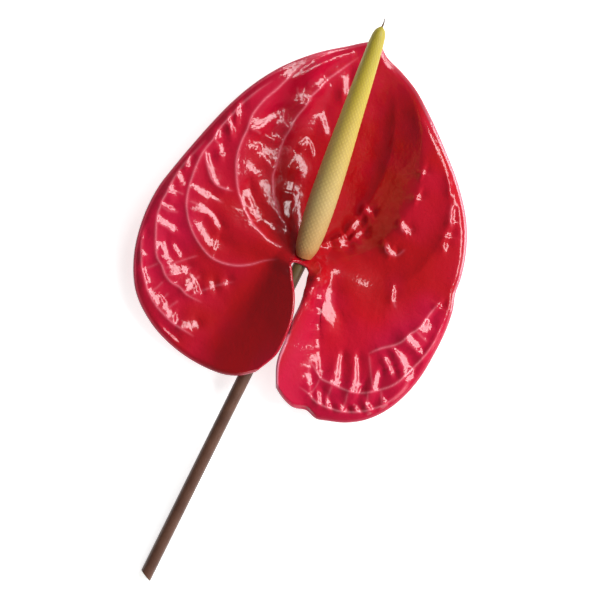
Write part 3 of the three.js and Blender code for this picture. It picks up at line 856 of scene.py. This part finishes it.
def crimson(x, y, u, beside):
    """How bluish the red is, from 0 to 1. It is least so on the inner part of the left lobe."""
    left_lobe = smooth(*LEFT_LOBE_START, y) * (x < 0)
    rim_zone = smooth(*CRIMSON_RIM, u) * mix(1, UPPER_RIGHT_RIM, zone(x, y, *UPPER_RIGHT))
    rim_zone = rim_zone * mix(1, LEFT_LOBE_RIM, left_lobe)
    # painted sheen: a lighter, bluer strip down the right lobe, where its fold faces the light
    sheen_strip = np.exp(-(((x - SHEEN_STRIP_X) / SHEEN_STRIP_WIDTH) ** 2)) * smooth(*SHEEN_STRIP_START, y)
    inner_lobe = np.exp(-(((x - INNER_LOBE_X) / INNER_LOBE_WIDTH) ** 2)) * smooth(*INNER_LOBE_START, y)
    cloud = CLOUDS[0] * value_noise(x, y, *CLOUDS[1:])
    tone = np.maximum(rim_zone, sheen_strip) + BLUSH_SHARE * beside + cloud
    tone = tone + LOBE_SHARE * zone(x, y, *RIGHT_LOBE)
    return np.clip(tone * (1 - inner_lobe) * mix(1, LEFT_HALF_SHARE, zone(x, y, *LEFT_HALF)), 0, 1)


RIM_FADE = (0.95, 0.995)
RIM_FADE_DEPTH = 0.95
PAD_FADE = (3, 12)


def rim_fade(u, x, y):
    """The relief dies out towards the rim and on the pad under the spadix."""
    return (1 - RIM_FADE_DEPTH * smooth(*RIM_FADE, u)) * smooth(*PAD_FADE, np.hypot(x, y))


# ==== Spadix and stalk ====
SPADIX_LENGTH = 92.6
SPADIX_DIAMETER = 10.4
SPADIX_RISE = 17
SPADIX_LEAN = 7.6
SPADIX_BOW = 1.5
SPADIX_LIFT = 1.2
SPADIX_PROFILE = [
    (0, 0.56), (0.03, 0.76), (0.08, 0.9), (0.16, 0.985), (0.26, 1), (0.42, 0.93), (0.6, 0.8),
    (0.78, 0.67), (0.88, 0.585), (0.94, 0.52), (0.97, 0.43), (0.985, 0.31), (0.995, 0.14),
]
CONTACT_GAP = 0.3
PAD_NORMAL = np.array([0, math.sin(PAD_ANGLE), math.cos(PAD_ANGLE)])
PAD_CENTRE = np.array([0, PAD_CENTRE_Y, JOINT_HEIGHT])


def slide_to_pad(points, direction, side, only_beyond=False):
    """Points moved along the direction onto the pad's upper (1) or lower (-1) face."""
    start = PAD_CENTRE + PAD_NORMAL * side * (THICKNESS / 2 + CONTACT_GAP)
    distance = (points - start) @ PAD_NORMAL
    if only_beyond:
        distance = np.minimum(distance, 0)
    return points - direction * (distance / (PAD_NORMAL @ direction))[:, None]


def across_axes(direction):
    """The two directions square to a spike or stalk: sideways, and upward."""
    sideways = np.cross([0, 0, 1], direction)
    sideways /= np.linalg.norm(sideways)
    return sideways, np.cross(direction, sideways)


def spadix_axis():
    """The place on the pad where the spadix starts, and its direction."""
    lean, rise = math.radians(SPADIX_LEAN), math.radians(SPADIX_RISE)
    direction = np.array([-math.sin(lean), math.cos(lean), math.tan(rise)])
    direction /= np.linalg.norm(direction)
    return slide_to_pad((PAD_CENTRE + [0, 0, SPADIX_LIFT])[None], direction, 1)[0], direction


def around(centre, axes, radius, angle):
    """Points at the given radius and angle round a centre."""
    sideways, upward = axes
    across, above = radius * np.cos(angle), radius * np.sin(angle)
    return centre + sideways * across[..., None] + upward * above[..., None]


def turn_angles(sides):
    return np.linspace(0, 2 * np.pi, sides, endpoint=False)


SPADIX_LAST_RING = 0.995
SPADIX_RING_CROWDING = 1.15


def spadix_mesh():
    sides, spans = ((160, 440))
    base, direction = spadix_axis()
    t = SPADIX_LAST_RING * np.sin(np.pi / 2 * np.linspace(0, 1, spans + 1)) ** SPADIX_RING_CROWDING
    t, angle = np.meshgrid(t, turn_angles(sides), indexing="ij")
    radius = SPADIX_DIAMETER / 2 * profile(SPADIX_PROFILE, t) + floret_relief(t, angle)
    centre = base + direction * (t * SPADIX_LENGTH)[..., None]
    centre = centre + np.array([0, 0, 1]) * (4 * SPADIX_BOW * t * (1 - t))[..., None]
    points = around(centre, across_axes(direction), radius, angle)
    points = slide_to_pad(points.reshape(-1, 3), direction, 1, only_beyond=True)
    points = np.vstack([points, base[None], (base + direction * SPADIX_LENGTH)[None]])
    dome, stigma = floret_pattern(t, angle)
    marks = {
        "groove": np.append((1 - dome).ravel(), [0, 0]),
        "stigma": np.append(stigma.ravel(), [0, 0]),
        "along": np.append(t.ravel(), [0, 1]),
    }
    return points, tube_faces(spans + 1, sides), marks


THREAD_LENGTH = 4
THREAD_RADIUS = 0.45
THREAD_OVERLAP = 0.8
THREAD_BEND = 0.25
THREAD_TURN = 3
THREAD_TAPER = 0.75
THREAD_KNOTS = 23
THREAD_KNOT_HEIGHT = 0.12


def thread_mesh():
    """The dried thread left at the tip of the spadix."""
    sides, spans = 16, 24
    base, direction = spadix_axis()
    start = base + direction * (SPADIX_LENGTH - THREAD_OVERLAP)
    axes = across_axes(direction)
    rings = []
    for share in np.linspace(0, 1, spans + 1):
        centre = start + direction * THREAD_LENGTH * share
        centre = centre - axes[0] * THREAD_BEND * math.sin(share * THREAD_TURN)
        knots = 1 + THREAD_KNOT_HEIGHT * math.sin(share * THREAD_KNOTS)
        radius = THREAD_RADIUS * (1 - THREAD_TAPER * share) * knots
        rings.append(around(centre, axes, radius, turn_angles(sides)))
    points = np.vstack(rings + [rings[0].mean(0)[None], rings[-1].mean(0)[None]])
    return points, tube_faces(spans + 1, sides), {}


FLORET_TURNS = 18
FLORET_PITCH = 1.9
FLORET_ROUNDNESS = 2.5
FLORET_HEIGHT = 0.13
FLORET_MIDDLE = 0.6
STIGMA_HEIGHT = 0.04
STIGMA_SPREAD = 0.03
FLORET_TIP_SHARE = 0.45
FLATTEN = (0.45, 0.9)
FLORET_START, FLORET_END = (0, 0.03), (0.97, 0.99)


def floret_pattern(t, angle):
    """Diamond-shaped florets where two families of spirals cross: (dome, stigma), each 0 to 1."""
    turn = angle / (2 * np.pi) * FLORET_TURNS
    rise = t * SPADIX_LENGTH / FLORET_PITCH
    first = np.abs(((turn + rise) % 1) - 0.5) * 2
    second = np.abs(((turn - rise) % 1) - 0.5) * 2
    dome = 1 - np.maximum(first, second) ** FLORET_ROUNDNESS
    stigma = np.exp(-((first ** 2 + second ** 2) / STIGMA_SPREAD))
    return dome, stigma


def floret_relief(t, angle):
    """The florets flatten towards the tip and fade out at both ends."""
    dome, stigma = floret_pattern(t, angle)
    fade = mix(1, FLORET_TIP_SHARE, smooth(*FLATTEN, t))
    fade = fade * smooth(*FLORET_START, t) * (1 - smooth(*FLORET_END, t))
    return (FLORET_HEIGHT * (dome - FLORET_MIDDLE) + STIGMA_HEIGHT * stigma) * fade


def tube_faces(rings, sides):
    """Faces of a closed tube whose rings are followed by its two end points."""
    start, end = rings * sides, rings * sides + 1
    faces = []
    for k in range(sides):
        n = (k + 1) % sides
        faces.append((start, n, k))
        faces.append((end, (rings - 1) * sides + k, (rings - 1) * sides + n))
        for ring in range(rings - 1):
            near, far = ring * sides, (ring + 1) * sides
            faces.append((near + k, near + n, far + n, far + k))
    return faces


STEM_DIAMETER = 4.9
STEM_LENGTH = 134
STEM_CUT_ANGLE = math.radians(26)
CUT_NORMAL = np.array([math.sin(STEM_CUT_ANGLE), math.cos(STEM_CUT_ANGLE), 0])
CUT_BAND = 0.25
STEM_FLUTES = 5
STEM_TWIST = 3
FLUTE_DEPTH = 0.012


def stem_mesh():
    sides, spans = 64, 160
    radius = STEM_DIAMETER / 2
    cut_end = np.array([0, PAD_CENTRE_Y - STEM_LENGTH, radius])
    direction = PAD_CENTRE - cut_end
    length = np.linalg.norm(direction)
    direction /= length
    axes = across_axes(direction)
    angle = turn_angles(sides)
    rings = []
    for span in range(spans + 1):
        share = span / spans
        flutes = (1 + np.sin(angle * STEM_FLUTES + share * STEM_TWIST)) / 2
        ring = around(cut_end + direction * length * share, axes, radius * (1 - FLUTE_DEPTH * flutes), angle)
        if span <= 1:
            # the slanted cut, and a ring close behind it that keeps its edge crisp
            distance = (ring - cut_end) @ CUT_NORMAL
            ring = ring - direction * (distance / (CUT_NORMAL @ direction))[:, None]
            ring = ring + direction * (CUT_BAND * span)
        if span == spans:
            ring = slide_to_pad(ring, direction, -1)
        rings.append(ring)
    points = np.vstack(rings + [cut_end[None], slide_to_pad(PAD_CENTRE[None], direction, -1)])
    ring_number = np.repeat(np.arange(spans + 1), sides)
    marks = {
        "along": np.append(ring_number / spans, [0, 1]),
        "cut": np.append(ring_number == 0, [True, False]).astype(float),
    }
    return points, tube_faces(spans + 1, sides), marks


# ==== Materials ====
BUMP_DISTANCE = 0.0002


class Nodes:
    """A material and short ways to build its node tree."""

    def __init__(self, name):
        self.material = bpy.data.materials.new(name)
        self.material.use_nodes = True
        self.tree = self.material.node_tree
        self.shader = self.tree.nodes["Principled BSDF"]

    def plug(self, node, inputs):
        """Sets a node's inputs, or links them where the value is another node's output."""
        for key, value in inputs.items():
            if isinstance(value, bpy.types.NodeSocket):
                self.tree.links.new(value, node.inputs[key])
            else:
                node.inputs[key].default_value = value

    def add(self, kind, inputs, **settings):
        node = self.tree.nodes.new(kind)
        for key, value in settings.items():
            setattr(node, key, value)
        self.plug(node, inputs)
        return node

    def ramp(self, source, stops):
        node = self.add("ShaderNodeValToRGB", {"Fac": source})
        ramp = node.color_ramp
        while len(ramp.elements) < len(stops):
            ramp.elements.new(0.5)
        for element, (place, colour) in zip(ramp.elements, stops):
            element.position = place
            element.color = (*colour, 1)
        return node.outputs["Color"]

    def mix(self, factor, a, b):
        return self.add("ShaderNodeMix", {0: factor, 6: a, 7: b}, data_type="RGBA").outputs[2]

    def mark(self, name):
        return self.add("ShaderNodeAttribute", {}, attribute_name=name).outputs["Fac"]

    def mark_share(self, name, share):
        return self.add("ShaderNodeMath", {0: self.mark(name), 1: share}, operation="MULTIPLY").outputs[0]

    def noise(self, scale, detail):
        where = self.add("ShaderNodeTexCoord", {}).outputs["Object"]
        inputs = {"Vector": where, "Scale": scale, "Detail": detail}
        return self.add("ShaderNodeTexNoise", inputs).outputs["Fac"]

    def bump(self, height, strength):
        inputs = {"Strength": strength, "Distance": BUMP_DISTANCE, "Height": height}
        return self.add("ShaderNodeBump", inputs).outputs["Normal"]

    def surface(self, **inputs):
        """Sets the shader's inputs, with an underscore for each space in a name."""
        self.plug(self.shader, {key.replace("_", " "): value for key, value in inputs.items()})


CRIMSON = (0.51, 0.003, 0.036, 1)
LOBE_SCARLET = (0.53, 0.003, 0.012, 1)
VEIN_PINK_AND_GLINT = (0.80, 0.17, 0.23, 1)
RIM_GLINT_PINK = (0.80, 0.30, 0.40, 1)


def spathe_material():
    n = Nodes("spathe_skin")
    scarlet = n.ramp(n.noise(45, 3), [(0.3, (0.40, 0.0025, 0.006)), (0.7, (0.45, 0.003, 0.008))])
    scarlet = n.mix(n.mark("lobe"), scarlet, LOBE_SCARLET)
    front = n.mix(n.mark("crimson"), scarlet, CRIMSON)
    # pale pink on veins and ribs: partly their own paler colour, partly a painted glint along their crests
    front = n.mix(n.mark_share("vein", 0.85), front, VEIN_PINK_AND_GLINT)
    # painted glint along the rim
    front = n.mix(n.mark_share("pale", 0.75), front, RIM_GLINT_PINK)
    back = n.ramp(n.noise(60, 3), [(0.3, (0.36, 0.03, 0.035)), (0.7, (0.44, 0.05, 0.055))])
    crinkle = n.bump(n.noise(650, 2), 0.6)
    n.surface(
        Base_Color=n.mix(n.mark("side"), front, back),
        Roughness=0.4,
        Specular_IOR_Level=0.08,
        Coat_Weight=0.8,
        Coat_Roughness=0.1,
        Coat_IOR=1.5,
        Normal=crinkle,
        Coat_Normal=crinkle,
    )
    return n.material


def spadix_material():
    n = Nodes("spadix_florets")
    along = n.ramp(n.mark("along"), [
        (0.0, (0.52, 0.17, 0.05)),
        (0.06, (0.56, 0.33, 0.12)),
        (0.25, (0.58, 0.42, 0.16)),
        (0.5, (0.58, 0.42, 0.09)),
        (0.72, (0.52, 0.40, 0.035)),
        (1.0, (0.42, 0.36, 0.02)),
    ])
    # painted shade: darker brown in the grooves between the florets
    shade = n.mix(n.mark_share("groove", 0.45), along, (0.34, 0.16, 0.05, 1))
    dots = n.mix(n.mark_share("stigma", 0.3), shade, (0.40, 0.22, 0.08, 1))
    n.surface(
        Base_Color=dots,
        Roughness=0.5,
        Subsurface_Weight=0.08,
        Subsurface_Radius=(0.003, 0.002, 0.001),
        Subsurface_Scale=1.0,
        Normal=n.bump(n.noise(1500, 2), 0.2),
    )
    return n.material


def thread_material():
    n = Nodes("thread_dry")
    brown = n.ramp(n.noise(900, 2), [(0.3, (0.10, 0.05, 0.02)), (0.7, (0.22, 0.12, 0.05))])
    n.surface(Base_Color=brown, Roughness=0.8)
    return n.material


def stem_material():
    n = Nodes("stalk_skin")
    brown = n.ramp(n.noise(120, 4), [(0.3, (0.085, 0.032, 0.018)), (0.7, (0.13, 0.055, 0.032))])
    near_blade = n.ramp(n.mark("along"), [(0.90, (0, 0, 0)), (0.985, (1, 1, 1))])
    skin = n.mix(near_blade, brown, (0.12, 0.085, 0.022, 1))
    n.surface(
        Base_Color=n.mix(n.mark("cut"), skin, (0.30, 0.25, 0.12, 1)),
        Roughness=0.42,
        Normal=n.bump(n.noise(700, 3), 0.15),
    )
    return n.material


# ==== Pieces ====
def build_flower():
    for name, (points, faces, marks), material, slot in (
        ("spathe_blade", spathe_mesh(), spathe_material(), "spathe"),
        ("spadix_spike", spadix_mesh(), spadix_material(), "spadix"),
        ("stalk", stem_mesh(), stem_material(), "stem"),
        ("spadix_thread", thread_mesh(), thread_material(), "spadix"),
    ):
        obj = make_object(name, points, faces, material, marks)
        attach(obj, "root")
        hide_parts(slot)


# ==== Stage: floor, light, camera ====
FRAME_WIDTH = 224.4
CAMERA_X = 5.95
CAMERA_Y = -13.56
CAMERA_ROLL = 26.4
LENS = 180
SENSOR = 36
FOCUS_HEIGHT = 12
LIGHT_AIM = (0, 0.015, 0.01)
WORLD_STRENGTH = 0.14
FLOOR_HALF = 3.0
# one light in two: its mirror image in the skin and its soft light have different powers
SECOND_LIGHT = {"azimuth": 72, "elevation": 56, "distance": 1.1, "size": (0.34, 0.34)}


def build_floor():
    mesh = bpy.data.meshes.new("floor")
    corners = [(x * FLOOR_HALF, y * FLOOR_HALF, 0) for x, y in ((-1, -1), (1, -1), (1, 1), (-1, 1))]
    mesh.from_pydata(corners, [], [(0, 1, 2, 3)])
    floor = add_object("floor", mesh)
    n = Nodes("floor_paper")
    n.surface(
        Base_Color=(0.86, 0.86, 0.86, 1),
        Roughness=0.9,
        Emission_Color=(1, 1, 1, 1),
        Emission_Strength=0.72,
    )
    mesh.materials.append(n.material)


def area_light(name, azimuth, elevation, distance, size, power, colour=(1, 1, 1)):
    """A soft rectangular light that looks at the joint; size and distance in metres, angles in degrees."""
    data = bpy.data.lights.new(name, "AREA")
    data.shape = "RECTANGLE"
    data.size, data.size_y = size
    data.energy = power
    data.color = colour
    light = add_object(name, data)
    a, e = math.radians(azimuth), math.radians(elevation)
    aim = ORIGIN + Vector(LIGHT_AIM)
    place = aim + distance * Vector((math.cos(e) * math.cos(a), math.cos(e) * math.sin(a), math.sin(e)))
    light.location = place
    light.rotation_euler = (aim - place).to_track_quat("-Z", "Y").to_euler()
    return light


def build_stage():
    build_floor()
    area_light("key", 34, 42, distance=1.0, size=(0.7, 0.34), power=8.8, colour=(0.93, 0.98, 1))
    sheen = area_light("sheen", power=4.7, **SECOND_LIGHT)
    sheen.visible_diffuse = False
    top = area_light("top", power=3.2, **SECOND_LIGHT)
    top.visible_glossy = False
    fill = area_light("fill", -5, 36, distance=1.3, size=(1.8, 0.8), power=9.4)
    fill.visible_glossy = False
    scene = bpy.context.scene
    scene.world = bpy.data.worlds.new("studio")
    scene.world.use_nodes = True
    background = scene.world.node_tree.nodes["Background"].inputs
    background["Color"].default_value = (1, 1, 1, 1)
    background["Strength"].default_value = WORLD_STRENGTH
    scene.view_settings.view_transform = "Standard"
    scene.view_settings.look = "None"
    camera = bpy.data.cameras.new("camera")
    camera.lens = LENS
    camera.sensor_width = SENSOR
    obj = add_object("camera", camera)
    distance = LENS / SENSOR * FRAME_WIDTH + FOCUS_HEIGHT
    obj.location = ORIGIN + Vector((CAMERA_X, CAMERA_Y, distance)) * MM
    obj.rotation_euler = (0, 0, math.radians(CAMERA_ROLL))
    scene.camera = obj


build_stage()
build_flower()
bpy.context.view_layer.update()
